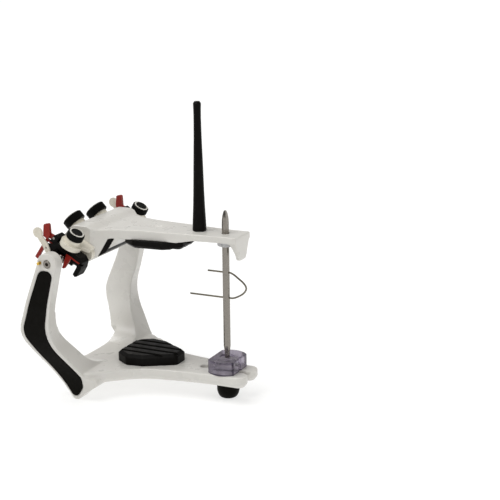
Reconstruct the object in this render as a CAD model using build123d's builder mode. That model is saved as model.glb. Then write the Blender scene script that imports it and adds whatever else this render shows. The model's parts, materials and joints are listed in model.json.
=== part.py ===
from build123d import *
import math
import os

# Semi-adjustable dental articulator, closed in centric, standing on its heels and front foot.
# Millimetres, +Z up, -Y towards the incisal pin (front), X across; "left" is the -X side.
# The origin is on the bench, under the middle of the whole object's bounding box.

# ---------------------------------------------------------------- driving dimensions
HALF_LENGTH = 90.3          # front of the base and rear of the uprights, from the origin
PIN_Y = -67.5               # incisal pin axis
HINGE_Y = 58.6              # condylar axis
HINGE_Z = 123.0
CONDYLE_X = 54.0            # half of the intercondylar distance
INCLINATION = 30.0          # condylar guidance as set, degrees

UPRIGHT_OUT = 78.0          # outer and inner faces of the uprights at their heads
UPRIGHT_IN = 67.4
HEAD_R = 9.3
OUTER_FACE = ((58.0, -1.0), (58.5, 12.0), (63.5, 29.0), (72.0, 49.5), (76.6, 79.0), (78.0, 100.0))
INNER_FRONT = ((21.0, 24.4), (41.6, 33.0), (48.0, 46.0), (57.4, 60.0), (64.6, 78.0), (67.4, 100.0))
INNER_REAR = ((30.0, 24.4), (49.0, 33.0), (61.4, 46.0), (65.4, 60.0), (66.8, 78.0), (67.4, 100.0))
INNER_FRONT_Y = 40.0        # where the two inner profiles above hold
INNER_REAR_Y = 95.0
BASE_TOP = 24.4
BASE_BOTTOM = 14.4
HOLLOW_HALF = 44.0          # hollow in the rear edge of the base
HOLLOW_Y = 68.0
HOLLOW_DEPTH = 4.2
GRIP_DEPTH = 1.6
LOBE_R = 7.6                # the two round lobes at the front of the base
NOTCH_HALF = 2.4            # half width of the notch between them

BOW_TOP = 144.0
BOW_BOTTOM = 138.3
SEAT_Z = 135.6              # underside of the arm over the upper mounting plate, which is deeper
BOW_FRONT = -83.5
CROSSBAR_HALF = 38.0        # half width of the bow's rear cross-bar

PIN_R = 3.0
PIN_TOP = 163.2
PIN_TIP = 35.05
TABLE_TOP = 36.0
DISH_FLOOR = 35.0
WIRE_R = 0.75
WIRE_UPPER_Z = 110.2
WIRE_LOWER_Z = 88.1
ROD_Y = -43.4
ROD_TOP = 252.6

FIT = 0.05                  # radial clearance of running fits
GAP = 0.4                   # working gap between pieces that pass each other

BALL_R = 4.7
SHAFT_R = 2.5
SHAFT_END_R = 3.3
ROOF = 5.2                  # guidance roof above the condylar axis
HOUSING_OUT = 59.5
HOUSING_IN = 49.0
WALL_IN = 45.0              # medial wall of the guidance housing
BENNETT_F = 1.9             # side shift axis, forward of the condyle

RECESS_R = 3.9              # round the outer end of the condyle shaft
RECESS_DEPTH = 2.0
BRASS_R = 1.25              # facebow pins
BRASS_BACK = 6.3
BRASS_UP = 0.8
BRASS_PROUD = 3.0

SLOT_REAR = -45.8           # T-slot of the incisal table
SLOT_WIDTH = 4.8
SLOT_LIP = 2.0
TEE_WIDTH = 7.6
TEE_HEIGHT = 2.4
FOOT_R = 9.7
FOOT_Y = -68.0
FOOT_STUD_R = 2.0
FOOT_STUD_DEPTH = 4.0

LOWER_PLATE_Y = 4.5
LOWER_PLATE_EDGE = ((8.0, -27.5), (23.0, -2.0), (25.0, 13.0), (16.0, 26.5))
UPPER_PLATE_Y = -6.0
PLATE_HEIGHT = 9.4
UPPER_PLATE_HEIGHT = 6.7
MAGNET_R = 8.0
MAGNET_HEIGHT = 3.0
INDEX_STEP = 16.0           # index pins in front of and behind the magnet
INDEX_R = 1.5
INDEX_DEPTH = 3.0

TABLE_HALF = 13.0
TABLE_BULGE = 18.0
TABLE_REAR = 11.8           # pin axis to the front and rear faces of the table
DISH_R = 6.4
SCREW_R = 1.5
TABLE_SCREW_Z = 30.0

NOSE_BOTTOM = 122.8
ROD_STUD_R = 2.5
PIVOT_R = 2.5
PIVOT_IN = 28.0
STUD_R = 2.0
LOCK_X = 18.2               # inclination locks, on the rear slope of the cross-bar
LOCK_Y = 62.9
LOCK_Z = 141.5
LOCK_LEAN = 44.0
LOCK_STUD_LENGTH = 12.0

COLLAR_R = 7.0
COLLAR_HEIGHT = 5.0
WIRE_BEND_Y = -71.4         # where the wire's legs end and its pointed loop begins
WIRE_TIP_Y = -86.0

BRACKET_IN = 38.4           # ivory bracket beside the cross-bar
BRACKET_OUT = 43.2
SHIFT_X = 53.8              # side shift axis, across
SECTOR_R = 9.4
SECTOR_TOP = 17.8
SECTOR_THICK = 4.2
HOUSING_TOP = 13.1
WALL_OUT = 47.4
LATCH_IN = 56.8
LATCH_OUT = 59.2
GROOVE_LOW = 7.4            # groove the latch slides in
GROOVE_HIGH = 9.2
GROOVE_FRONT = 9.9          # in front of this the groove is closed below
LEVER_F = -12.2             # pivot of the red latch lever, in the tilted frame
LEVER_H = 13.4
LEVER_IN = 57.0
ARM_OUT = 58.6
LEVER_OUT = 60.6
SEAT_OUT = 60.7             # plate on the housing that carries the blade
BLADE_F = -13.5             # screw of the white blade
BLADE_H = 3.2
BLADE_IN = 60.8
BLADE_OUT = 62.0
KNOB_LOW = 4.2              # from the seat under a knob to its lower face
SHIFT_KNOB = (7.4, 5.6)     # radius and height of the knobs
LOCK_KNOB = (9.2, 6.8)
KNURL_PITCH = 1.3

SIDES = ((-1, "left"), (1, "right"))
SLOPE = math.radians(INCLINATION)
FORWARD = (0, -math.cos(SLOPE), -math.sin(SLOPE))
NORMAL = (0, -math.sin(SLOPE), math.cos(SLOPE))

os.makedirs("parts", exist_ok=True)


UP = (Align.CENTER, Align.CENTER, Align.MIN)
DOWN = (Align.CENTER, Align.CENTER, Align.MAX)
SLOT_ALIGN = (Align.CENTER, Align.MAX, Align.MAX)


def finish(piece, name):
    """Label a finished piece and write it."""
    piece.part.label = name
    export_step(piece.part, f"parts/{name}.step")


def guide(side, inner, outer):
    """Sketch plane of the guidance on one side: x forward, y off the roof, extruded inner to outer."""
    start = outer if side > 0 else -inner
    return Plane(origin=(start, HINGE_Y, HINGE_Z), x_dir=FORWARD, z_dir=(-1, 0, 0))


def guide_point(side, x, forward, height):
    """World position of a point in the tilted guidance frame."""
    y = HINGE_Y + forward * FORWARD[1] + height * NORMAL[1]
    z = HINGE_Z + forward * FORWARD[2] + height * NORMAL[2]
    return (side * x, y, z)


def across(side, start):
    """Plane facing outwards across the object, x along +Y, at a distance from the middle."""
    return Plane(origin=(side * start, 0, 0), x_dir=(0, side, 0), z_dir=(side, 0, 0))


def lock_plane(side, height):
    """Plane square to the inclination lock's axis, which leans back, at a height up that axis."""
    direction = (0, math.sin(math.radians(LOCK_LEAN)), math.cos(math.radians(LOCK_LEAN)))
    start = Vector(side * LOCK_X, LOCK_Y, LOCK_Z) + Vector(*direction) * height
    return Plane(origin=start, x_dir=(1, 0, 0), z_dir=direction)


# ---------------------------------------------------------------- lower frame
# Upright seen from the side: head at the condylar axis, bent back to the elbow, down to the heel.
def upright_outline():
    with BuildSketch(mode=Mode.PRIVATE) as outline:
        with BuildLine():
            FilletPolyline(
                (HINGE_Y + HEAD_R, HINGE_Z),
                (93.0, 58.4),
                (48.8, -3.2),
                (39.6, 6.2),
                (27.0, 14.2),
                (27.0, 20.0),
                (38.4, 21.4),
                (64.6, 58.8),
                (HINGE_Y - HEAD_R, HINGE_Z),
                radius=(19.5, 5.0, 3.0, 3.0, 2.5, 5.0, 38.0),
            )
            Line((HINGE_Y - HEAD_R, HINGE_Z), (HINGE_Y + HEAD_R, HINGE_Z))
        make_face()
        with Locations((HINGE_Y, HINGE_Z)):
            Circle(HEAD_R)
    return outline.sketch


# Outline of the two uprights and the base seen from the front, spreading from the heels to the heads.
def front_outline():
    heel = OUTER_FACE[0][0]
    with BuildSketch(mode=Mode.PRIVATE) as outline:
        with BuildLine():
            Polyline((0, HINGE_Z + 20), (UPRIGHT_OUT, HINGE_Z + 20), OUTER_FACE[-1])
            Spline(*OUTER_FACE, tangents=((0, 1), (0, 1)))
            FilletPolyline(
                OUTER_FACE[0], (heel - 10, -1.0), (heel - 22, BASE_BOTTOM - 3), (0, BASE_BOTTOM - 3),
                radius=(2.5, 12.0))
            Line((0, BASE_BOTTOM - 3), (0, HINGE_Z + 20))
        make_face()
        mirror(about=Plane.YZ)
    return outline.sketch


# Space between the uprights at one distance from the front, given the half profile of its side.
def inner_outline(profile):
    with BuildSketch(mode=Mode.PRIVATE) as outline:
        with BuildLine():
            Line((0, BASE_TOP), profile[0])
            Spline(*profile, tangents=((1, 0.15), (0, 1)))
            Polyline(profile[-1], (UPRIGHT_IN, HINGE_Z + 30), (0, HINGE_Z + 30), (0, BASE_TOP))
        make_face()
        mirror(about=Plane.YZ)
    return outline.sketch


# Base plate seen from above: narrow in front, with a notch between two round lobes.
def base_outline():
    lobe_x = NOTCH_HALF + LOBE_R
    lobe_y = LOBE_R - HALF_LENGTH
    with BuildSketch(mode=Mode.PRIVATE) as outline:
        with BuildLine():
            RadiusArc((0, lobe_y + 4.8), (NOTCH_HALF, lobe_y + 2.4), NOTCH_HALF)
            Line((NOTCH_HALF, lobe_y + 2.4), (NOTCH_HALF, lobe_y))
            ThreePointArc((NOTCH_HALF, lobe_y), (lobe_x, -HALF_LENGTH), (lobe_x + LOBE_R, lobe_y))
            Spline(
                (lobe_x + LOBE_R, lobe_y),
                (18.0, -62.0),
                (19.6, -42.5),
                (22.8, -22.0),
                (28.0, -2.0),
                (42.0, 18.0),
                (58.0, 36.0),
                tangents=((0, 1), (0.7, 1)),
            )
            Polyline((58.0, 36.0), (58.0, 62.0), (0, 62.0), (0, lobe_y + 4.8))
        make_face()
        mirror(about=Plane.YZ)
    return outline.sketch


# Rubber grip let into the outer face of each upright, a narrow border inside its outline.
def grip_outline():
    with BuildSketch(mode=Mode.PRIVATE) as outline:
        with BuildLine():
            FilletPolyline(
                (53.0, 117.0),
                (65.9, 117.0),
                (88.4, 59.8),
                (48.8, 0.3),
                (41.2, 11.4),
                (41.4, 20.4),
                (68.6, 56.4),
                radius=(4.6, 6.0, 15.0, 4.0, 4.0, 3.0, 36.0),
                close=True,
            )
        make_face()
    return outline.sketch


# Skin of the leaning outer faces, seen from the front, that the grips fill.
def grip_section():
    with BuildSketch(mode=Mode.PRIVATE) as outline:
        with BuildLine():
            Spline(*[(x + 0.5, z) for x, z in OUTER_FACE], tangents=((0, 1), (0, 1)))
            Polyline(
                (UPRIGHT_OUT + 0.5, OUTER_FACE[-1][1]), (UPRIGHT_OUT + 0.5, HINGE_Z),
                (UPRIGHT_OUT - GRIP_DEPTH, HINGE_Z), (UPRIGHT_OUT - GRIP_DEPTH, OUTER_FACE[-1][1]))
            Spline(*[(x - GRIP_DEPTH, z) for x, z in OUTER_FACE], tangents=((0, 1), (0, 1)))
            Line((OUTER_FACE[0][0] - GRIP_DEPTH, OUTER_FACE[0][1]), (OUTER_FACE[0][0] + 0.5, OUTER_FACE[0][1]))
        make_face()
        mirror(about=Plane.YZ)
    return outline.sketch


# Front plate of the casting, rounded under its edge.
with BuildPart() as base_plate:
    with BuildSketch(Plane.XY.offset(BASE_BOTTOM)):
        add(base_outline())
    extrude(amount=BASE_TOP - BASE_BOTTOM)
    lower_edges = base_plate.faces().sort_by(Axis.Z)[0].outer_wire().edges()
    chamfer([edge for edge in lower_edges if edge.center().Y < 50], length=3.6, length2=2.6)
    upper_edges = base_plate.faces().sort_by(Axis.Z)[-1].outer_wire().edges()
    fillet([edge for edge in upper_edges if edge.center().Y < 50], radius=1.4)

# Space between the uprights, narrower in front where the corners are fuller.
with BuildPart() as inner_space:
    for profile, distance in ((INNER_FRONT, 0.0), (INNER_FRONT, INNER_FRONT_Y), (INNER_REAR, INNER_REAR_Y)):
        with BuildSketch(Plane.XZ.offset(-distance)):
            add(inner_outline(profile))
    loft()

with BuildPart() as lower_frame:
    with BuildSketch(Plane.YZ.offset(-UPRIGHT_OUT - 1)):
        add(upright_outline())
    extrude(amount=2 * UPRIGHT_OUT + 2)
    with BuildSketch(Plane.XZ.offset(-HALF_LENGTH - 5)):
        add(front_outline())
    extrude(amount=2 * HALF_LENGTH, mode=Mode.INTERSECT)
    add(inner_space.part, mode=Mode.SUBTRACT)
    add(base_plate.part)
    # rear edge of the base, hollowed between the heels
    with BuildSketch(Plane.XY.offset(-2)):
        with BuildLine():
            ThreePointArc((-HOLLOW_HALF, HOLLOW_Y), (0, HOLLOW_Y - HOLLOW_DEPTH), (HOLLOW_HALF, HOLLOW_Y))
            Polyline(
                (HOLLOW_HALF, HOLLOW_Y), (HOLLOW_HALF, INNER_REAR_Y), (-HOLLOW_HALF, INNER_REAR_Y),
                (-HOLLOW_HALF, HOLLOW_Y))
        make_face()
    extrude(amount=40, mode=Mode.SUBTRACT)
    # pockets for the grips, between the leaning outer face and a parallel floor
    with BuildSketch(Plane.XZ.offset(-HALF_LENGTH - 5)) as pocket_section:
        add(grip_section())
    pockets = extrude(amount=2 * HALF_LENGTH, mode=Mode.PRIVATE)
    with BuildSketch(Plane.YZ.offset(-UPRIGHT_OUT - 1)):
        add(grip_outline())
    grip_band = extrude(amount=2 * UPRIGHT_OUT + 2, mode=Mode.PRIVATE)
    add(pockets & grip_band, mode=Mode.SUBTRACT)
    for side, tag in SIDES:
        # bore for the condyle shaft, with a shallow recess round its outer end
        with BuildSketch(across(side, UPRIGHT_IN - 1)):
            with Locations((side * HINGE_Y, HINGE_Z)):
                Circle(SHAFT_R)
        extrude(amount=UPRIGHT_OUT - UPRIGHT_IN + 2, mode=Mode.SUBTRACT)
        with BuildSketch(across(side, UPRIGHT_OUT)):
            with Locations((side * HINGE_Y, HINGE_Z)):
                Circle(RECESS_R)
        extrude(amount=-RECESS_DEPTH, mode=Mode.SUBTRACT)
        # hole for the facebow pin, behind the shaft
        with BuildSketch(across(side, UPRIGHT_OUT)):
            with Locations((side * (HINGE_Y + BRASS_BACK), HINGE_Z + BRASS_UP)):
                Circle(BRASS_R)
        extrude(amount=-6, mode=Mode.SUBTRACT)
    # T-slot for the incisal table, open through the notch
    with Locations((0, SLOT_REAR, BASE_TOP)):
        Box(SLOT_WIDTH, SLOT_REAR + HALF_LENGTH + 2, SLOT_LIP, align=SLOT_ALIGN, mode=Mode.SUBTRACT)
    with Locations((0, SLOT_REAR, BASE_TOP - SLOT_LIP)):
        Box(TEE_WIDTH, SLOT_REAR + HALF_LENGTH + 2, TEE_HEIGHT, align=SLOT_ALIGN, mode=Mode.SUBTRACT)
    with Locations((0, SLOT_REAR, BASE_TOP)):
        Cylinder(TEE_WIDTH / 2, SLOT_LIP + TEE_HEIGHT, align=DOWN, mode=Mode.SUBTRACT)
    # stud hole for the front foot, from below
    with Locations((0, FOOT_Y, BASE_BOTTOM)):
        Cylinder(FOOT_STUD_R, FOOT_STUD_DEPTH, align=UP, mode=Mode.SUBTRACT)
    # seat of the magnet and the two index pins under the lower mounting plate
    with Locations((0, LOWER_PLATE_Y, BASE_TOP)):
        Cylinder(MAGNET_R, MAGNET_HEIGHT, align=DOWN, mode=Mode.SUBTRACT)
    with Locations(*[(0, LOWER_PLATE_Y + step, BASE_TOP) for step in (-INDEX_STEP, INDEX_STEP)]):
        Cylinder(INDEX_R, INDEX_DEPTH, align=DOWN, mode=Mode.SUBTRACT)
finish(lower_frame, "lower_frame")

# ---------------------------------------------------------------- pieces fixed to the lower frame
for side, tag in SIDES:
    with BuildPart() as grip:
        with BuildSketch(Plane.XZ.offset(-HALF_LENGTH - 5)):
            add(grip_section())
        extrude(amount=2 * HALF_LENGTH)
        with BuildSketch(Plane.YZ.offset(-UPRIGHT_OUT - 1)):
            add(grip_outline())
        extrude(amount=2 * UPRIGHT_OUT + 2, mode=Mode.INTERSECT)
        split(bisect_by=Plane.YZ, keep=Keep.TOP if side > 0 else Keep.BOTTOM)
    finish(grip, f"grip_{tag}")

    with BuildPart() as condyle_shaft:
        end_x = UPRIGHT_OUT - RECESS_DEPTH
        ball_edge = math.sqrt(BALL_R**2 - SHAFT_R**2)
        with BuildSketch(Plane(origin=(0, HINGE_Y, HINGE_Z), x_dir=(side, 0, 0), z_dir=(0, 0, side))):
            with BuildLine():
                ThreePointArc((CONDYLE_X - BALL_R, 0), (CONDYLE_X, BALL_R), (CONDYLE_X + ball_edge, SHAFT_R))
                Polyline(
                    (CONDYLE_X + ball_edge, SHAFT_R), (end_x, SHAFT_R), (end_x, SHAFT_END_R),
                    (end_x + 1.0, SHAFT_END_R), (end_x + 1.3, SHAFT_END_R - 0.3), (end_x + 1.3, 0),
                    (CONDYLE_X - BALL_R, 0))
            make_face()
        revolve(axis=Axis((0, HINGE_Y, HINGE_Z), (1, 0, 0)))
        with BuildSketch(across(side, end_x + 1.3)):
            with Locations((side * HINGE_Y, HINGE_Z)):
                RegularPolygon(1.7, 6)
        extrude(amount=-2.5, mode=Mode.SUBTRACT)
    finish(condyle_shaft, f"condyle_shaft_{tag}")

    with BuildPart() as facebow_pin:
        with BuildSketch(across(side, UPRIGHT_OUT - 6)):
            with Locations((side * (HINGE_Y + BRASS_BACK), HINGE_Z + BRASS_UP)):
                Circle(BRASS_R)
        extrude(amount=6 + BRASS_PROUD)
        chamfer(facebow_pin.faces().sort_by(Axis.X)[-1 if side > 0 else 0].edges(), length=0.3)
    finish(facebow_pin, f"facebow_pin_{tag}")

with BuildPart() as front_foot:
    with BuildSketch(Plane.XZ.offset(-FOOT_Y)):
        with BuildLine():
            Polyline((0, BASE_BOTTOM), (0, 0), (4.5, 0))
            Spline((4.5, 0), (8.3, 2.4), (FOOT_R, 7.2), tangents=((1, 0), (0.1, 1)))
            Polyline((FOOT_R, 7.2), (FOOT_R, BASE_BOTTOM), (0, BASE_BOTTOM))
        make_face()
    revolve(axis=Axis((0, FOOT_Y, 0), (0, 0, 1)))
    with Locations((0, FOOT_Y, BASE_BOTTOM)):
        Cylinder(FOOT_STUD_R, FOOT_STUD_DEPTH, align=UP)
finish(front_foot, "front_foot")


def magnet(z, y, direction):
    with BuildPart() as disc:
        with Locations((0, y, z)):
            Cylinder(MAGNET_R, MAGNET_HEIGHT, align=direction)
    return disc


finish(magnet(BASE_TOP, LOWER_PLATE_Y, DOWN), "lower_magnet")


# Ridged block of the lower mounting plate, wide behind and tapering to the front.
def lower_plate_outline():
    with BuildSketch(mode=Mode.PRIVATE) as outline:
        with BuildLine():
            FilletPolyline(
                *[(-x, LOWER_PLATE_Y + y) for x, y in LOWER_PLATE_EDGE],
                *[(x, LOWER_PLATE_Y + y) for x, y in reversed(LOWER_PLATE_EDGE)],
                radius=5.0,
                close=True,
            )
        make_face()
    return outline.sketch


with BuildPart() as lower_mounting_plate:
    with BuildSketch(Plane.XY.offset(BASE_TOP)):
        add(lower_plate_outline())
    extrude(amount=PLATE_HEIGHT)
    chamfer(lower_mounting_plate.faces().sort_by(Axis.Z)[-1].outer_wire().edges(), length=2.6)
    # grooves along the plate that the plaster keys into
    with BuildSketch(Plane.XZ.offset(-LOWER_PLATE_Y + 30)):
        with Locations(*[(x, BASE_TOP + PLATE_HEIGHT) for x in (-14.4, -4.8, 4.8, 14.4)]):
            Trapezoid(5.6, 3.6, 62, rotation=180)
    extrude(amount=-60, mode=Mode.SUBTRACT)
    with Locations((0, LOWER_PLATE_Y, BASE_TOP)):
        Cylinder(MAGNET_R, MAGNET_HEIGHT, align=UP, mode=Mode.SUBTRACT)
    with Locations(*[(0, LOWER_PLATE_Y + step, BASE_TOP) for step in (-INDEX_STEP, INDEX_STEP)]):
        Cylinder(INDEX_R, INDEX_DEPTH, align=UP, mode=Mode.SUBTRACT)
finish(lower_mounting_plate, "lower_mounting_plate")
finish(magnet(BASE_TOP, LOWER_PLATE_Y, UP), "lower_plate_disc")

with BuildPart() as lower_index_pins:
    with Locations(*[(0, LOWER_PLATE_Y + step, BASE_TOP) for step in (-INDEX_STEP, INDEX_STEP)]):
        Cylinder(INDEX_R, 2 * INDEX_DEPTH)
finish(lower_index_pins, "lower_index_pins")

# ---------------------------------------------------------------- incisal table
with BuildPart() as incisal_table:
    with BuildSketch(Plane.XY.offset(BASE_TOP)):
        with BuildLine():
            Line((-TABLE_HALF, PIN_Y + TABLE_REAR), (TABLE_HALF, PIN_Y + TABLE_REAR))
            ThreePointArc(
                (TABLE_HALF, PIN_Y + TABLE_REAR), (TABLE_BULGE, PIN_Y), (TABLE_HALF, PIN_Y - TABLE_REAR))
            Line((TABLE_HALF, PIN_Y - TABLE_REAR), (-TABLE_HALF, PIN_Y - TABLE_REAR))
            ThreePointArc(
                (-TABLE_HALF, PIN_Y - TABLE_REAR), (-TABLE_BULGE, PIN_Y), (-TABLE_HALF, PIN_Y + TABLE_REAR))
        make_face()
    extrude(amount=TABLE_TOP - BASE_TOP)
    chamfer(incisal_table.faces().sort_by(Axis.Z)[-1].edges(), length=0.4)
    # flat-bottomed dish for the pin's tip
    with Locations((0, PIN_Y, DISH_FLOOR)):
        Cone(DISH_R - 0.8, DISH_R, TABLE_TOP - DISH_FLOOR, align=UP, mode=Mode.SUBTRACT)
    # groove down the front face and the cross hole of the lock screw
    with Locations((0, PIN_Y - TABLE_REAR, BASE_TOP)):
        Box(4.6, 2.4, TABLE_TOP - BASE_TOP, align=(Align.CENTER, Align.CENTER, Align.MIN), mode=Mode.SUBTRACT)
    with Locations((0, PIN_Y - TABLE_REAR + 7.5, TABLE_SCREW_Z)):
        Cylinder(SCREW_R, 7.0, rotation=(90, 0, 0), align=UP, mode=Mode.SUBTRACT)
    # tee that runs in the slot of the base
    with Locations((0, PIN_Y + 1.0, BASE_TOP)):
        Box(SLOT_WIDTH - 0.2, 17.0, SLOT_LIP + 0.1, align=DOWN)
    with Locations((0, PIN_Y + 1.0, BASE_TOP - SLOT_LIP - 0.1)):
        Box(TEE_WIDTH - 0.3, 17.0, TEE_HEIGHT - 0.3, align=DOWN)
finish(incisal_table, "incisal_table")

with BuildPart() as table_lock_screw:
    with Locations((0, PIN_Y - TABLE_REAR + 7.5, TABLE_SCREW_Z)):
        Cylinder(SCREW_R, 6.0, rotation=(90, 0, 0), align=UP)
finish(table_lock_screw, "table_lock_screw")

# ---------------------------------------------------------------- upper bow
# Side view of the bow: flat arm, nose curving down in front, deep cross-bar behind.
def bow_side():
    nose_back = BOW_FRONT + 3.6
    with BuildSketch(mode=Mode.PRIVATE) as outline:
        with BuildLine():
            FilletPolyline(
                (BOW_FRONT, NOSE_BOTTOM),
                (BOW_FRONT, BOW_TOP),
                (37.0, BOW_TOP),
                (44.0, 147.6),
                (57.5, 147.6),
                (71.0, 134.0),
                (71.0, 119.0),
                (66.0, 112.5),
                (56.0, 112.5),
                (43.0, 117.2),
                (23.6, 131.6),
                (20.8, SEAT_Z),
                (-30.0, SEAT_Z),
                (-44.0, BOW_BOTTOM),
                (nose_back + 3.0, BOW_BOTTOM),
                (nose_back, NOSE_BOTTOM + 6.0),
                (nose_back, NOSE_BOTTOM),
                radius=(1.5, 6.0, 6.0, 5.0, 2.5, 3.0, 3.0, 4.0, 4.0, 2.0, 0.8, 8.0, 8.0, 3.0, 6.0),
            )
            Line((nose_back, NOSE_BOTTOM), (BOW_FRONT, NOSE_BOTTOM))
        make_face()
    return outline.sketch


# Bow seen from above: arm widening rearwards and flaring into the cross-bar.
def bow_plan():
    with BuildSketch(mode=Mode.PRIVATE) as outline:
        with BuildLine():
            Line((0, BOW_FRONT), (14.2, BOW_FRONT))
            Spline(
                (14.2, BOW_FRONT),
                (13.4, -74.0),
                (15.0, -50.0),
                (17.6, -25.0),
                (20.6, 5.0),
                (24.5, 22.0),
                (CROSSBAR_HALF, 40.5),
                tangents=((-0.2, 1), (1, 1)),
            )
            Polyline((CROSSBAR_HALF, 40.5), (CROSSBAR_HALF, 75.0), (0, 75.0), (0, BOW_FRONT))
        make_face()
        mirror(about=Plane.YZ)
    return outline.sketch


# Bow seen from the front: shield-shaped nose below the arm.
def bow_front_section():
    with BuildSketch(mode=Mode.PRIVATE) as outline:
        with BuildLine():
            FilletPolyline(
                (-40.0, BOW_TOP + 10),
                (-40.0, BOW_BOTTOM),
                (-12.6, BOW_BOTTOM),
                (-9.4, 131.0),
                (-6.0, NOSE_BOTTOM),
                (6.0, NOSE_BOTTOM),
                (9.4, 131.0),
                (12.6, BOW_BOTTOM),
                (40.0, BOW_BOTTOM),
                (40.0, BOW_TOP + 10),
                radius=(0.5, 3.0, 8.0, 3.0, 3.0, 8.0, 3.0, 0.5),
            )
            Line((-40.0, BOW_TOP + 10), (40.0, BOW_TOP + 10))
        make_face()
    return outline.sketch


# Slanting band that the black pad fills, seen from the side.
def pad_outline():
    with BuildSketch(mode=Mode.PRIVATE) as outline:
        with BuildLine():
            Polyline((24.8, 136.2), (29.3, 135.8), (36.2, 121.2), (30.9, 124.8), close=True)
        make_face()
    return outline.sketch


with BuildPart() as upper_bow:
    with BuildSketch(Plane.YZ.offset(-50)):
        add(bow_side())
    extrude(amount=100)
    with BuildSketch(Plane.XY.offset(100)):
        add(bow_plan())
    extrude(amount=60, mode=Mode.INTERSECT)
    with BuildSketch(Plane.XZ.offset(-BOW_FRONT - 12)):
        Rectangle(200, 400)
        add(bow_front_section(), mode=Mode.SUBTRACT)
    extrude(amount=20, mode=Mode.SUBTRACT)
    with BuildSketch(Plane.YZ.offset(-50)):
        add(pad_outline())
    extrude(amount=100, mode=Mode.SUBTRACT)
    # underside of the cross-bar hollowed between its ends
    with Locations((0, 58.0, 110.0)):
        Box(46.0, 19.0, 26.0, align=UP, mode=Mode.SUBTRACT)
    with Locations((0, PIN_Y, BOW_BOTTOM - 5)):
        Cylinder(PIN_R + FIT, 20, align=UP, mode=Mode.SUBTRACT)
    with Locations((0, ROD_Y, BOW_TOP - 4.0)):
        Cylinder(ROD_STUD_R, 6.0, align=UP, mode=Mode.SUBTRACT)
    with Locations((0, UPPER_PLATE_Y, SEAT_Z)):
        Cylinder(MAGNET_R, MAGNET_HEIGHT, align=UP, mode=Mode.SUBTRACT)
    with Locations(*[(0, UPPER_PLATE_Y + step, SEAT_Z) for step in (-INDEX_STEP, INDEX_STEP)]):
        Cylinder(INDEX_R, INDEX_DEPTH, align=UP, mode=Mode.SUBTRACT)
    with Locations((0, -3.0, BOW_TOP - 1.0)):
        Box(3.2, 6.0, 3.0, align=UP, mode=Mode.SUBTRACT)
    for side, tag in SIDES:
        # bore of the inclination pivot, on the condylar axis
        with BuildSketch(across(side, PIVOT_IN)):
            with Locations((side * HINGE_Y, HINGE_Z)):
                Circle(PIVOT_R)
        extrude(amount=CROSSBAR_HALF - PIVOT_IN + 1, mode=Mode.SUBTRACT)
        # bore of the inclination lock, leaning back
        with BuildSketch(lock_plane(side, -LOCK_STUD_LENGTH)):
            Circle(STUD_R)
        extrude(amount=LOCK_STUD_LENGTH + 8, mode=Mode.SUBTRACT)
finish(upper_bow, "upper_bow")

# ---------------------------------------------------------------- pieces fixed to the bow
finish(magnet(SEAT_Z, UPPER_PLATE_Y, UP), "upper_magnet")


def upper_plate_outline():
    with BuildSketch(mode=Mode.PRIVATE) as outline:
        with BuildLine():
            FilletPolyline(
                (-12.0, UPPER_PLATE_Y - 27.0),
                (12.0, UPPER_PLATE_Y - 27.0),
                (21.5, UPPER_PLATE_Y - 12.0),
                (23.5, UPPER_PLATE_Y + 14.0),
                (15.0, UPPER_PLATE_Y + 27.0),
                (-15.0, UPPER_PLATE_Y + 27.0),
                (-23.5, UPPER_PLATE_Y + 14.0),
                (-21.5, UPPER_PLATE_Y - 12.0),
                radius=5.0,
                close=True,
            )
        make_face()
    return outline.sketch


with BuildPart() as upper_mounting_plate:
    with BuildSketch(Plane.XY.offset(SEAT_Z)):
        add(upper_plate_outline())
    extrude(amount=-UPPER_PLATE_HEIGHT)
    chamfer(upper_mounting_plate.faces().sort_by(Axis.Z)[0].outer_wire().edges(), length=2.4)
    # thin stepped lip in front
    with Locations((0, UPPER_PLATE_Y - 24.0, BOW_BOTTOM)):
        Box(21.0, 20.0, 3.4, align=DOWN)
    with BuildSketch(Plane.YZ.offset(-50)):
        add(bow_side())
    extrude(amount=100, mode=Mode.SUBTRACT)
    with BuildSketch(Plane.XZ.offset(-UPPER_PLATE_Y + 30)):
        with Locations(*[(x, SEAT_Z - UPPER_PLATE_HEIGHT) for x in (-13.8, -4.6, 4.6, 13.8)]):
            Trapezoid(4.4, 2.2, 62)
    extrude(amount=-60, mode=Mode.SUBTRACT)
    with Locations((0, UPPER_PLATE_Y, SEAT_Z)):
        Cylinder(MAGNET_R, MAGNET_HEIGHT, align=DOWN, mode=Mode.SUBTRACT)
    with Locations(*[(0, UPPER_PLATE_Y + step, SEAT_Z) for step in (-INDEX_STEP, INDEX_STEP)]):
        Cylinder(INDEX_R, INDEX_DEPTH, align=DOWN, mode=Mode.SUBTRACT)
finish(upper_mounting_plate, "upper_mounting_plate")
finish(magnet(SEAT_Z, UPPER_PLATE_Y, DOWN), "upper_plate_disc")

with BuildPart() as upper_index_pins:
    with Locations(*[(0, UPPER_PLATE_Y + step, SEAT_Z) for step in (-INDEX_STEP, INDEX_STEP)]):
        Cylinder(INDEX_R, 2 * INDEX_DEPTH)
finish(upper_index_pins, "upper_index_pins")

# Black pad let into the slope where the arm meets the cross-bar.
with BuildPart() as bow_pad:
    with BuildSketch(Plane.YZ.offset(-50)):
        add(pad_outline())
    extrude(amount=100)
    with BuildSketch(Plane.XY.offset(100)):
        add(bow_plan())
    extrude(amount=60, mode=Mode.INTERSECT)
finish(bow_pad, "bow_pad")

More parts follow.
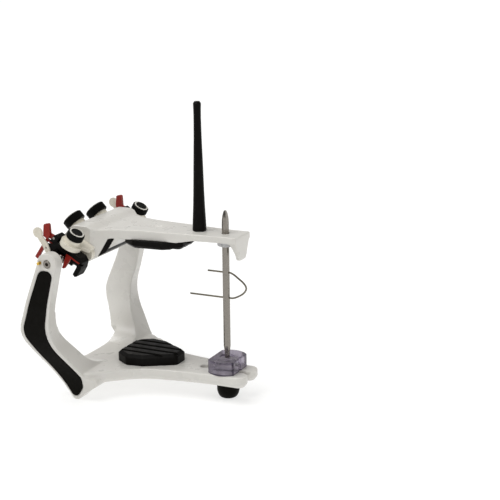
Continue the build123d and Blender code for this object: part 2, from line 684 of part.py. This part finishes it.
# Support rod that carries the bow when it is laid open, a tapered black bar on a threaded stud.
with BuildPart() as support_rod:
    with BuildSketch(Plane.XZ.offset(-ROD_Y)):
        with BuildLine():
            Polyline((0, BOW_TOP), (5.7, BOW_TOP), (5.9, BOW_TOP + 1), (5.6, BOW_TOP + 9))
            Spline((5.6, BOW_TOP + 9), (4.0, 200.0), (3.1, ROD_TOP - 10), tangents=((-0.06, 1), (0, 1)))
            Polyline((3.1, ROD_TOP - 10), (3.3, ROD_TOP - 1.6), (2.2, ROD_TOP), (0, ROD_TOP), (0, BOW_TOP))
        make_face()
    revolve(axis=Axis((0, ROD_Y, 0), (0, 0, 1)))
    with Locations((0, ROD_Y, BOW_TOP - 4.0)):
        Cylinder(ROD_STUD_R, 4.0, align=UP)
finish(support_rod, "support_rod")

# Split collar that holds the incisal pin under the arm, pinched by a grub screw.
with BuildPart() as pin_collar:
    with Locations((0, PIN_Y, BOW_BOTTOM)):
        Cylinder(COLLAR_R, COLLAR_HEIGHT, align=DOWN)
    chamfer(pin_collar.edges().filter_by(GeomType.CIRCLE).sort_by(Axis.Z)[0], length=0.7)
    with Locations((0, PIN_Y, BOW_BOTTOM)):
        Cylinder(PIN_R + FIT, COLLAR_HEIGHT, align=DOWN, mode=Mode.SUBTRACT)
        Box(20, 0.5, 2 * COLLAR_HEIGHT, align=(Align.MAX, Align.CENTER, Align.CENTER), mode=Mode.SUBTRACT)
    with Locations((0, PIN_Y, BOW_BOTTOM - COLLAR_HEIGHT / 2)):
        Cylinder(1.0, 10, rotation=(-90, 0, 0), align=UP, mode=Mode.SUBTRACT)
finish(pin_collar, "pin_collar")

with BuildPart() as collar_screw:
    with Locations((0, PIN_Y + PIN_R + 0.1, BOW_BOTTOM - COLLAR_HEIGHT / 2)):
        Cylinder(1.0, 3.0, rotation=(-90, 0, 0), align=UP)
finish(collar_screw, "collar_screw")

for side, tag in SIDES:
    with BuildPart() as inclination_pivot:
        with BuildSketch(across(side, PIVOT_IN)):
            with Locations((side * HINGE_Y, HINGE_Z)):
                Circle(PIVOT_R)
        extrude(amount=BRACKET_OUT - PIVOT_IN)
    finish(inclination_pivot, f"inclination_pivot_{tag}")

# ---------------------------------------------------------------- incisal pin and its wire
with BuildPart() as incisal_pin:
    with BuildSketch(Plane.XZ.offset(-PIN_Y)):
        with BuildLine():
            Polyline((0, PIN_TIP), (1.7, PIN_TIP), (2.2, PIN_TIP + 0.6), (2.2, 40.0), (PIN_R, 46.0))
            Line((PIN_R, 46.0), (PIN_R, PIN_TOP - 8.0))
            Spline((PIN_R, PIN_TOP - 8.0), (2.5, PIN_TOP - 3.5), (1.0, PIN_TOP), tangents=((0, 1), (-0.6, 1)))
            Polyline((1.0, PIN_TOP), (0, PIN_TOP), (0, PIN_TIP))
        make_face()
    revolve(axis=Axis((0, PIN_Y, 0), (0, 0, 1)))
    # two long flats that bring the top to a chisel
    with BuildSketch(Plane(origin=(0, PIN_Y, 0), x_dir=(0, 1, 0), z_dir=(1, 0, 0))):
        with BuildLine():
            Polyline((0.8, PIN_TOP + 1), (2.6, PIN_TOP - 12), (6, PIN_TOP - 12), (6, PIN_TOP + 1), close=True)
        make_face()
        mirror(about=Plane.YZ)
    extrude(amount=8, both=True, mode=Mode.SUBTRACT)
    with Locations((0, PIN_Y, WIRE_UPPER_Z), (0, PIN_Y, WIRE_LOWER_Z)):
        Cylinder(WIRE_R + FIT, 10, rotation=(90, 0, 0), mode=Mode.SUBTRACT)
finish(incisal_pin, "incisal_pin")

with BuildPart() as pin_wire:
    with BuildLine(Plane.YZ) as wire_path:
        Line((PIN_Y + 34.0, WIRE_LOWER_Z), (WIRE_BEND_Y, WIRE_LOWER_Z))
        Spline(
            (WIRE_BEND_Y, WIRE_LOWER_Z), (-78.0, 90.0), (-84.2, 94.4), (WIRE_TIP_Y, 98.2), (-84.2, 101.8),
            (-78.5, 106.2), (WIRE_BEND_Y, WIRE_UPPER_Z), tangents=((-1, 0), (1, 0.35)))
        Line((WIRE_BEND_Y, WIRE_UPPER_Z), (PIN_Y + 16.9, WIRE_UPPER_Z))
    with BuildSketch(Plane(origin=wire_path.line @ 0, z_dir=wire_path.line % 0)):
        Circle(WIRE_R)
    sweep(transition=Transition.ROUND)
finish(pin_wire, "pin_wire")


# ---------------------------------------------------------------- condylar guidance, each side
def knob(plane_at, size, name):
    """Knurled lock knob with an inlaid ring, on its stud; plane_at gives planes along its axis."""
    radius, height = size
    top = KNOB_LOW + height
    ring_r = radius - 1.2
    with BuildPart() as body:
        with BuildSketch(plane_at(KNOB_LOW)):
            Circle(radius)
        extrude(amount=height)
        chamfer(body.edges().filter_by(GeomType.CIRCLE), length=0.5)
        with BuildSketch(plane_at(KNOB_LOW)):
            with PolarLocations(radius + 0.15, round(2 * math.pi * radius / KNURL_PITCH)):
                Circle(0.42)
        extrude(amount=height, mode=Mode.SUBTRACT)
        with BuildSketch(plane_at(top - 1.2)):
            Circle(ring_r)
            Circle(ring_r - 1.1, mode=Mode.SUBTRACT)
        extrude(amount=1.2, mode=Mode.SUBTRACT)
        with BuildSketch(plane_at(top)):
            Circle(ring_r - 1.3)
        extrude(amount=0.9)
        with BuildSketch(plane_at(KNOB_LOW)):
            Circle(STUD_R)
        extrude(amount=4.0, mode=Mode.SUBTRACT)
    finish(body, name)
    with BuildPart() as ring:
        with BuildSketch(plane_at(top - 1.2)):
            Circle(ring_r)
            Circle(ring_r - 1.1, mode=Mode.SUBTRACT)
        extrude(amount=1.7)
    finish(ring, name + "_ring")
    with BuildPart() as stud:
        with BuildSketch(plane_at(KNOB_LOW + 4.0)):
            Circle(STUD_R)
        extrude(amount=-4.0)
        with BuildSketch(plane_at(KNOB_LOW)):
            Circle(STUD_R - FIT)
        extrude(amount=-(KNOB_LOW + 9.0))
    finish(stud, name + "_stud")


for side, tag in SIDES:
    # ivory collar under each inclination lock, seated on the rear slope of the cross-bar
    with BuildPart() as lock_collar:
        with BuildSketch(lock_plane(side, 0)):
            Circle(7.0)
        extrude(amount=KNOB_LOW - GAP)
        with BuildSketch(Plane.YZ.offset(-50)):
            add(bow_side())
        extrude(amount=100, mode=Mode.SUBTRACT)
        with BuildSketch(lock_plane(side, -6)):
            Circle(STUD_R)
        extrude(amount=20, mode=Mode.SUBTRACT)
    finish(lock_collar, f"lock_collar_{tag}")
    knob(lambda height, side=side: lock_plane(side, height), LOCK_KNOB, f"inclination_lock_{tag}")

    def shift_plane(height, side=side):
        start = guide_point(side, SHIFT_X, BENNETT_F, SECTOR_TOP + height)
        return Plane(origin=start, x_dir=(1, 0, 0), z_dir=NORMAL)

    # bracket: lug on the inclination pivot, arm, and round sector under the shift lock
    with BuildPart() as bracket:
        with BuildSketch(guide(side, BRACKET_IN, BRACKET_OUT)):
            with BuildLine():
                FilletPolyline(
                    (-6.5, -4.0), (5.0, -6.0), (19.6, 9.8), (17.6, 14.8), (10.0, SECTOR_TOP), (-3.0, SECTOR_TOP),
                    radius=(4.0, 4.0, 1.6, 3.0, 3.0, 4.0), close=True)
            make_face()
        extrude(amount=BRACKET_OUT - BRACKET_IN)
        with BuildSketch(guide(side, BRACKET_IN, BRACKET_OUT)):
            Circle(PIVOT_R + FIT)
        extrude(amount=BRACKET_OUT - BRACKET_IN, mode=Mode.SUBTRACT)
        with BuildSketch(shift_plane(0)):
            Circle(SECTOR_R)
            with Locations((-side * (SHIFT_X - BRACKET_IN) / 2, 0)):
                Rectangle(SHIFT_X - BRACKET_IN, 2 * SECTOR_R - 4.0)
            with BuildLine():
                Polyline(
                    *[(side * x, y) for x, y in (
                        (BRACKET_IN - SHIFT_X, 0), (BRACKET_IN - SHIFT_X, -14.0), (-9.0, -14.0), (-5.0, -8.5), (0, 0))],
                    close=True)
            make_face()
        extrude(amount=-SECTOR_THICK)
        with BuildSketch(shift_plane(0)):
            Circle(6.8)
        extrude(amount=KNOB_LOW - GAP, taper=6)
        with BuildSketch(shift_plane(KNOB_LOW)):
            Circle(STUD_R)
        extrude(amount=-20, mode=Mode.SUBTRACT)
    finish(bracket, f"guidance_bracket_{tag}")
    knob(shift_plane, SHIFT_KNOB, f"shift_lock_{tag}")

    # housing: roof over the condyle, medial and rear walls, and a hooked leg in front
    with BuildPart() as housing:
        with BuildSketch(guide(side, HOUSING_IN, HOUSING_OUT)):
            with BuildLine():
                FilletPolyline(
                    (-13.4, ROOF + 0.8), (-14.6, 9.2), (-12.4, 17.0), (-8.2, 16.8), (-8.2, HOUSING_TOP),
                    (16.6, HOUSING_TOP), (20.4, 10.6), (21.8, 5.0), (21.4, -2.8), (19.8, -4.4),
                    (17.2, -3.4), (17.4, ROOF), radius=(1.0, 0.8, 1.0, 0.6, 0.4, 2.0, 2.0, 4.0, 1.2, 1.0, 0.6, 0.8),
                    close=True)
            make_face()
        extrude(amount=HOUSING_OUT - HOUSING_IN)
        with BuildSketch(guide(side, WALL_IN, HOUSING_IN)):
            with BuildLine():
                Polyline((-13.0, -5.0), (-13.0, HOUSING_TOP - 2), (8.0, HOUSING_TOP - 2), (8.0, -5.0), close=True)
            make_face()
        extrude(amount=HOUSING_IN - WALL_IN)
        with BuildSketch(guide(side, WALL_IN, LATCH_IN - GAP)):
            with BuildLine():
                Polyline((-13.0, -5.0), (-13.0, 8.0), (-5.8, 8.0), (-5.8, -5.0), close=True)
            make_face()
        extrude(amount=LATCH_IN - GAP - WALL_IN)
        # groove that the latch slides in, open below in its rear half
        with BuildSketch(guide(side, LATCH_IN - GAP, HOUSING_OUT + 1)):
            with BuildLine():
                Polyline(
                    (-16, GROOVE_HIGH), (-16, 0), (GROOVE_FRONT, 0), (GROOVE_FRONT, GROOVE_LOW), (26, GROOVE_LOW),
                    (26, GROOVE_HIGH), close=True)
            make_face()
        extrude(amount=HOUSING_OUT + 1 - LATCH_IN + GAP, mode=Mode.SUBTRACT)
        # room for the condyle beside the medial wall
        with BuildSketch(guide(side, WALL_OUT, LATCH_IN - GAP)):
            with Locations((1.3, 0)):
                Rectangle(14.2, 2 * ROOF)
        extrude(amount=LATCH_IN - GAP - WALL_OUT, mode=Mode.SUBTRACT)
        with BuildSketch(shift_plane(-SECTOR_THICK - GAP)):
            Circle(STUD_R + 0.3)
        extrude(amount=-7.0, mode=Mode.SUBTRACT)
        # slot for the arm of the lever, and the bore of its pin
        with BuildSketch(guide(side, LEVER_IN - 0.2, ARM_OUT + 0.2)):
            with Locations((LEVER_F, LEVER_H)):
                Circle(3.3)
        extrude(amount=ARM_OUT - LEVER_IN + 0.4, mode=Mode.SUBTRACT)
        with BuildSketch(guide(side, HOUSING_IN + 1, HOUSING_OUT)):
            with Locations((LEVER_F, LEVER_H)):
                Circle(1.1)
        extrude(amount=HOUSING_OUT - HOUSING_IN - 1, mode=Mode.SUBTRACT)
        # plate outside the latch that carries the blade
        with BuildSketch(guide(side, HOUSING_OUT, SEAT_OUT)):
            with BuildLine():
                FilletPolyline(
                    (-15.2, 0.6), (-15.2, 6.4), (-8.8, 10.4), (-8.8, 13.0), (4.6, 13.0), (4.6, 8.2), (-5.6, 8.2),
                    (-9.6, 0.6), radius=(1.0, 1.0, 0.5, 0.5, 0.5, 0.5, 1.5, 1.0), close=True)
            make_face()
            with Locations((BLADE_F, BLADE_H)):
                Circle(0.9, mode=Mode.SUBTRACT)
        extrude(amount=SEAT_OUT - HOUSING_OUT)
    finish(housing, f"guidance_housing_{tag}")

    with BuildPart() as latch:
        with BuildSketch(guide(side, LATCH_IN, LATCH_OUT)):
            with BuildLine():
                FilletPolyline(
                    (-20.4, -11.6), (-17.2, -12.0), (-16.4, GROOVE_LOW + 0.2), (4.2, GROOVE_LOW + 0.2), (6.0, -5.0),
                    (8.0, -4.0), (9.6, GROOVE_LOW + 0.2), (18.0, GROOVE_LOW + 0.2), (18.0, GROOVE_HIGH - 0.2),
                    (-18.6, GROOVE_HIGH - 0.2), radius=0.6, close=True)
            make_face()
        extrude(amount=LATCH_OUT - LATCH_IN)
    finish(latch, f"centric_latch_{tag}")

    with BuildPart() as lever:
        with BuildSketch(guide(side, LEVER_IN, ARM_OUT)):
            with Locations((LEVER_F, LEVER_H)):
                Circle(2.5)
            with BuildLine():
                Polyline((-13.0, 11.0), (-12.0, 15.6), (-16.6, 15.0), (-17.4, 10.4), close=True)
            make_face()
            with Locations((LEVER_F, LEVER_H)):
                Circle(1.1 + FIT, mode=Mode.SUBTRACT)
        extrude(amount=ARM_OUT - LEVER_IN)
        with BuildSketch(guide(side, LEVER_IN + 0.6, LEVER_OUT)):
            with BuildLine():
                FilletPolyline(
                    (-16.6, 9.8), (-15.8, 14.0), (-21.4, 22.6), (-25.4, 19.2), (-21.2, 9.8),
                    radius=(0.4, 0.6, 1.5, 1.5, 1.0), close=True)
            make_face()
        extrude(amount=LEVER_OUT - LEVER_IN - 0.6)
    finish(lever, f"latch_lever_{tag}")

    with BuildPart() as lever_pin:
        with BuildSketch(guide(side, HOUSING_IN + 1, HOUSING_OUT)):
            with Locations((LEVER_F, LEVER_H)):
                Circle(1.1)
        extrude(amount=HOUSING_OUT - HOUSING_IN - 1)
    finish(lever_pin, f"lever_pin_{tag}")

    with BuildPart() as blade:
        with BuildSketch(guide(side, BLADE_IN, BLADE_OUT)):
            with BuildLine():
                FilletPolyline(
                    (-8.6, 0.0), (-9.6, 3.6), (-13.4, 6.6), (-20.6, 9.8), (-22.2, 5.4), (-15.4, 1.4), (-10.6, -1.6),
                    radius=(0.8, 1.0, 2.0, 0.5, 0.5, 2.0, 0.8), close=True)
            make_face()
            with Locations((-23.0, 8.2)):
                Rectangle(8.0, 5.0, rotation=-28)
            with Locations((-26.4, 10.0)):
                Circle(4.4)
            with Locations((BLADE_F, BLADE_H)):
                Circle(0.9 + FIT, mode=Mode.SUBTRACT)
        extrude(amount=BLADE_OUT - BLADE_IN)
    finish(blade, f"spacer_blade_{tag}")

    with BuildPart() as blade_screw:
        with BuildSketch(guide(side, HOUSING_OUT, BLADE_OUT)):
            with Locations((BLADE_F, BLADE_H)):
                Circle(0.9)
        extrude(amount=BLADE_OUT - HOUSING_OUT)
    finish(blade_screw, f"blade_screw_{tag}")
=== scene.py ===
import json
import math

import bpy
from mathutils import Matrix, Vector


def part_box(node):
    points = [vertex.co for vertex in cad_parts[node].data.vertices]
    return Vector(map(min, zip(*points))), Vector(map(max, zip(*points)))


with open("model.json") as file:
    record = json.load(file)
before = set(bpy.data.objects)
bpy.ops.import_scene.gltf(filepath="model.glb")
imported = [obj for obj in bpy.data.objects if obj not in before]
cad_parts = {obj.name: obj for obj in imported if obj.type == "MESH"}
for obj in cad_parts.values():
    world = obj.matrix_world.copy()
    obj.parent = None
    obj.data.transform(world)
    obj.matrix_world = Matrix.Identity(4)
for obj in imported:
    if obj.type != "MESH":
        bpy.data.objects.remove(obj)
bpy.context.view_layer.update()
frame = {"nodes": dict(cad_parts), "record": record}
scene = bpy.context.scene
nodes = frame["nodes"]
MM = 0.001
BLOCK_HEIGHT = 11.6 * MM   # clear block of the incisal table, above the base
BLOCK_CORNER = 12.9 * MM   # from its middle plane out to where its front, rear and sides meet
SHADE_BAND = 1.0 * MM       # width of the painted shade band along its edges
SHADE_SOFT = 0.3 * MM       # how softly the band begins


# ------------------------------------------------------------------ material building blocks
class Surface:
    """A Principled material whose colour, roughness and bump are built up from object-space patterns."""

    def __init__(self, name, colour, roughness, metallic=0.0):
        self.material = bpy.data.materials.new(name)
        self.material.use_nodes = True
        self.tree = self.material.node_tree
        self.shader = self.tree.nodes["Principled BSDF"]
        self.shader.inputs["Base Color"].default_value = (*colour, 1)
        self.shader.inputs["Roughness"].default_value = roughness
        self.shader.inputs["Metallic"].default_value = metallic
        self.colour = None
        self.normal = None
        self.base = colour
        self.place = self.tree.nodes.new("ShaderNodeTexCoord").outputs["Object"]

    def node(self, kind, **values):
        made = self.tree.nodes.new(kind)
        for key, value in values.items():
            setattr(made, key, value)
        return made

    def link(self, out, into):
        self.tree.links.new(out, into)

    def mapped(self, stretch=(1, 1, 1), turn=(0, 0, 0)):
        mapping = self.node("ShaderNodeMapping")
        mapping.inputs["Scale"].default_value = stretch
        mapping.inputs["Rotation"].default_value = turn
        self.link(self.place, mapping.inputs["Vector"])
        return mapping.outputs["Vector"]

    def noise(self, size_mm, detail=2.0, stretch=(1, 1, 1), turn=(0, 0, 0), rough=0.5):
        """Noise whose features are about size_mm across."""
        made = self.node("ShaderNodeTexNoise")
        made.inputs["Scale"].default_value = 1.0 / (size_mm * MM)
        made.inputs["Detail"].default_value = detail
        made.inputs["Roughness"].default_value = rough
        self.link(self.mapped(stretch, turn), made.inputs["Vector"])
        return made.outputs["Fac"]

    def ramp(self, value, low, high, out_low=0.0, out_high=1.0):
        made = self.node("ShaderNodeMapRange")
        made.inputs["From Min"].default_value = low
        made.inputs["From Max"].default_value = high
        made.inputs["To Min"].default_value = out_low
        made.inputs["To Max"].default_value = out_high
        self.link(value, made.inputs["Value"])
        return made.outputs["Result"]

    def tint(self, colour, amount):
        """Mixes a second colour over the surface, by a 0 to 1 pattern."""
        mix = self.node("ShaderNodeMix", data_type="RGBA")
        mix.inputs["B"].default_value = (*colour, 1)
        if self.colour is None:
            mix.inputs["A"].default_value = (*self.base, 1)
        else:
            self.link(self.colour, mix.inputs["A"])
        self.link(amount, mix.inputs["Factor"])
        self.colour = mix.outputs["Result"]
        self.link(self.colour, self.shader.inputs["Base Color"])
        return self

    def roughen(self, pattern, low, high):
        self.link(self.ramp(pattern, 0.3, 0.7, low, high), self.shader.inputs["Roughness"])
        return self

    def bump(self, pattern, depth_mm, strength=1.0):
        made = self.node("ShaderNodeBump")
        made.inputs["Distance"].default_value = depth_mm * MM
        made.inputs["Strength"].default_value = strength
        self.link(pattern, made.inputs["Height"])
        if self.normal is not None:
            self.link(self.normal, made.inputs["Normal"])
        self.normal = made.outputs["Normal"]
        self.link(self.normal, self.shader.inputs["Normal"])
        return self

    def combine(self, operation, first, second):
        made = self.node("ShaderNodeMath", operation=operation)
        self.link(first, made.inputs[0])
        self.link(second, made.inputs[1])
        return made.outputs["Value"]

    def away(self, value, centre):
        """Distance of a coordinate from a value, either side."""
        shift = self.node("ShaderNodeMath", operation="SUBTRACT")
        self.link(value, shift.inputs[0])
        shift.inputs[1].default_value = centre
        size = self.node("ShaderNodeMath", operation="ABSOLUTE")
        self.link(shift.outputs["Value"], size.inputs[0])
        return size.outputs["Value"]

    def set(self, **values):
        for key, value in values.items():
            self.shader.inputs[key.replace("_", " ")].default_value = value
        return self


def white_enamel():
    """Thick satin enamel on a casting: slow waviness, faint warm and grey clouds, a little orange peel."""
    s = Surface("white_enamel", (0.67, 0.655, 0.615), 0.3)
    s.tint((0.60, 0.575, 0.52), s.ramp(s.noise(45, 3), 0.40, 0.75, 0.0, 0.45))
    s.tint((0.58, 0.555, 0.55), s.ramp(s.noise(22, 2), 0.50, 0.75, 0.0, 0.2))
    s.tint((0.52, 0.50, 0.45), s.ramp(s.noise(0.5, 1), 0.70, 0.85, 0.0, 0.12))
    s.roughen(s.noise(12, 3), 0.24, 0.38)
    s.bump(s.noise(14, 1), 0.04)
    s.bump(s.noise(0.8, 1), 0.0012)
    s.set(Coat_Weight=0.25, Coat_Roughness=0.15, Specular_IOR_Level=0.4)
    return s.material


def black_rubber(name, roughness):
    s = Surface(name, (0.0035, 0.003, 0.002), roughness)
    s.tint((0.008, 0.007, 0.0055), s.ramp(s.noise(7, 4, rough=0.7), 0.5, 0.8, 0.0, 0.7))
    s.tint((0.03, 0.028, 0.024), s.ramp(s.noise(0.5, 1), 0.72, 0.82, 0.0, 0.3))
    s.roughen(s.noise(3, 3), roughness - 0.1, roughness + 0.1)
    s.bump(s.noise(0.35, 2), 0.015)
    s.set(Specular_IOR_Level=0.05)
    return s.material


def moulded(name, colour, pale, roughness, grain_mm=0.5, depth_mm=0.015, shine=0.5):
    """Injection moulded plastic: fine spark grain, faint flow clouds and slightly polished spots."""
    s = Surface(name, colour, roughness)
    s.set(Specular_IOR_Level=shine)
    s.tint(pale, s.ramp(s.noise(6, 4, rough=0.65), 0.5, 0.8, 0.0, 0.6))
    s.roughen(s.noise(4, 3), roughness - 0.08, roughness + 0.1)
    s.bump(s.noise(grain_mm, 2), depth_mm)
    return s.material


def ground_steel(name, colour, stretch, roughness=0.32):
    """Turned and ground steel: fine rings or lines along one direction, and slow stains."""
    s = Surface(name, colour, roughness, metallic=1.0)
    lines = s.noise(0.12, 3, stretch=stretch, rough=0.6)
    s.tint(tuple(c * 0.5 for c in colour), s.ramp(lines, 0.45, 0.75, 0.0, 0.5))
    s.tint(tuple(c * 0.6 for c in colour), s.ramp(s.noise(7, 4, rough=0.7), 0.55, 0.85, 0.0, 0.5))
    s.roughen(s.noise(2.5, 3), roughness - 0.1, roughness + 0.12)
    s.bump(lines, 0.006)
    return s.material


def painted_edge_shade(s):
    """Mask of the painted edge shade: 1 along the edges of the clear block, 0 on its faces: bands at its
    corners, top and bottom.
    """
    low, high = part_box("incisal_table")
    split = s.node("ShaderNodeSeparateXYZ")
    s.link(s.place, split.inputs["Vector"])
    faces = s.node("ShaderNodeSeparateXYZ")
    s.link(s.node("ShaderNodeNewGeometry").outputs["True Normal"], faces.inputs["Vector"])
    middle = (low[1] + high[1]) / 2
    half_length = (high[1] - low[1]) / 2
    centre = high[2] - BLOCK_HEIGHT / 2

    def band(axis, zero, edge):
        start = edge - SHADE_BAND
        return s.ramp(s.away(split.outputs[axis], zero), start - SHADE_SOFT, start + SHADE_SOFT)

    across = band("X", 0.0, BLOCK_CORNER)
    along = band("Y", middle, half_length - 0.1 * MM)
    corners = s.combine("MULTIPLY", across, along)
    rims = band("Z", centre, BLOCK_HEIGHT / 2)
    upright = s.ramp(s.away(faces.outputs["Z"], 0.0), 0.9, 0.6)
    return s.combine("MULTIPLY", s.combine("MAXIMUM", corners, rims), upright)


def smoked_acrylic():
    """Clear block with a violet smoke tint, and painted shade along its edges, where refraction catches and
    loses light in the real block.
    """
    s = Surface("acrylic", (0.44, 0.40, 0.48), 0.05)
    s.tint((0.30, 0.27, 0.34), s.ramp(s.noise(9, 2), 0.4, 0.7, 0.0, 0.6))
    # painted shade: dark violet bands along the block's edges, in place of the darkening that refraction gives
    # there
    s.tint((0.03, 0.018, 0.05), s.ramp(painted_edge_shade(s), 0.0, 1.0, 0.0, 0.85))
    s.roughen(s.noise(4, 3), 0.03, 0.08)
    s.bump(s.noise(8, 2), 0.004)
    s.set(Transmission_Weight=0.74, IOR=1.2)
    return s.material


MATERIALS = {
    "white_enamel": white_enamel(),
    "grip_rubber": black_rubber("grip_rubber", 0.55),
    "foot_rubber": black_rubber("foot_rubber", 0.42),
    "black_plastic": moulded(
        "black_plastic", (0.004, 0.0035, 0.003), (0.009, 0.0085, 0.0075), 0.34, shine=0.06),
    "knob_plastic": moulded("knob_plastic", (0.004, 0.004, 0.0035), (0.009, 0.009, 0.008), 0.4, shine=0.06),
    "ring_white": moulded("ring_white", (0.74, 0.72, 0.66), (0.55, 0.52, 0.45), 0.3),
    "ivory_plastic": moulded("ivory_plastic", (0.70, 0.66, 0.56), (0.50, 0.45, 0.35), 0.32, 0.8, 0.02),
    "grey_plastic": moulded("grey_plastic", (0.50, 0.50, 0.51), (0.36, 0.36, 0.36), 0.35),
    "red_plastic": moulded(
        "red_plastic", (0.26, 0.012, 0.006), (0.16, 0.006, 0.004), 0.34, 0.6, 0.02, shine=0.25),
    "steel": ground_steel("steel", (0.26, 0.24, 0.215), (1.0, 1.0, 0.08), 0.22),
    "wire_steel": ground_steel("wire_steel", (0.20, 0.18, 0.14), (1.0, 0.15, 1.0), 0.34),
    "brass": ground_steel("brass", (0.68, 0.44, 0.09), (1.0, 0.2, 1.0), 0.3),
    "acrylic": smoked_acrylic(),
}

slot_of = {entry["node"]: entry["material_slot"] for entry in frame["record"]["subparts"]}
for name, thing in nodes.items():
    thing.data.materials.clear()
    thing.data.materials.append(MATERIALS[slot_of[name]])


# ------------------------------------------------------------------ cast skins
def cast_skin(name, grain_mm, passes):
    """Gives a CAD casting the full, rounded edges that thick enamel leaves, without moving its faces."""
    thing = nodes[name]
    skin = thing.modifiers.new("skin", "REMESH")
    skin.mode = "VOXEL"
    skin.voxel_size = grain_mm * MM
    skin.use_smooth_shade = True
    soft = thing.modifiers.new("soft", "SMOOTH")
    soft.factor = 0.5
    soft.iterations = passes


cast_skin("lower_frame", 0.7, 5)
cast_skin("upper_bow", 0.55, 5)


# ------------------------------------------------------------------ studio
def soft_light(name, place, target, size, power):
    data = bpy.data.lights.new(name, "AREA")
    data.shape = "DISK"
    data.size = size
    data.energy = power
    light = bpy.data.objects.new(name, data)
    light.location = place
    light.rotation_euler = (Vector(target) - Vector(place)).to_track_quat("-Z", "Y").to_euler()
    scene.collection.objects.link(light)


def white_room():
    """World that is white at the horizon, softer above, and dimmer on the left so that side has some shade."""
    world = bpy.data.worlds.new("studio")
    world.use_nodes = True
    tree = world.node_tree
    place = tree.nodes.new("ShaderNodeTexCoord")
    split = tree.nodes.new("ShaderNodeSeparateXYZ")
    fade = tree.nodes.new("ShaderNodeMapRange")
    fade.inputs["From Min"].default_value = 0.02
    fade.inputs["From Max"].default_value = 0.22
    fade.inputs["To Min"].default_value = 1.0
    fade.inputs["To Max"].default_value = 0.42
    dim = tree.nodes.new("ShaderNodeMapRange")
    dim.inputs["From Min"].default_value = -0.7
    dim.inputs["From Max"].default_value = 0.3
    dim.inputs["To Min"].default_value = 0.55
    dim.inputs["To Max"].default_value = 1.0
    both = tree.nodes.new("ShaderNodeMath")
    both.operation = "MULTIPLY"
    tree.links.new(place.outputs["Generated"], split.inputs["Vector"])
    tree.links.new(split.outputs["Z"], fade.inputs["Value"])
    tree.links.new(split.outputs["X"], dim.inputs["Value"])
    tree.links.new(fade.outputs["Result"], both.inputs[0])
    tree.links.new(dim.outputs["Result"], both.inputs[1])
    back = tree.nodes["Background"]
    back.inputs["Color"].default_value = (1.0, 0.99, 0.975, 1)
    tree.links.new(both.outputs["Value"], back.inputs["Strength"])
    scene.world = world


def studio():
    middle = (0, 0, 0.1)
    soft_light("window", (-0.45, -0.95, 0.7), middle, 0.35, 1.7)
    soft_light("rim", (0.8, 0.9, 0.8), middle, 0.5, 2.0)
    sky = bpy.data.lights.new("sky", "SUN")
    sky.angle = math.radians(50)
    sky.energy = 2.1
    overhead = bpy.data.objects.new("sky", sky)
    overhead.rotation_euler = (math.radians(-14), math.radians(-16), 0)
    scene.collection.objects.link(overhead)
    white_room()
    scene.view_settings.view_transform = "Standard"

    bpy.ops.mesh.primitive_plane_add(size=40, location=(0, 0, -0.0005))
    floor = bpy.context.object
    floor.name = "floor"
    paper = Surface("paper", (0.40, 0.40, 0.398), 0.8)
    paper.tint((0.39, 0.39, 0.387), paper.ramp(paper.noise(400, 2), 0.4, 0.7))
    paper.set(Emission_Color=(1, 1, 0.995, 1), Emission_Strength=0.66, Specular_IOR_Level=0.0)
    floor.data.materials.append(paper.material)


def camera():
    """Looks at the object from its left front, a little above, as a catalogue shot does."""
    azimuth, elevation, roll = (math.radians(v) for v in (-64.78, 14.81, -0.63))
    back = Vector((
        math.sin(azimuth) * math.cos(elevation), -math.cos(azimuth) * math.cos(elevation), math.sin(elevation)))
    across = Vector((math.cos(azimuth), math.sin(azimuth), 0))
    up = back.cross(across)
    right = across * math.cos(roll) + up * math.sin(roll)
    up = back.cross(right)
    place = Vector((-0.96074, -0.54234, 0.41254))
    data = bpy.data.cameras.new("camera")
    data.sensor_width = 36
    data.lens = 95.89
    seen = bpy.data.objects.new("camera", data)
    turn = Matrix((right, up, back)).transposed().to_4x4()
    seen.matrix_world = Matrix.Translation(place) @ turn
    scene.collection.objects.link(seen)
    scene.camera = seen


studio()
camera()
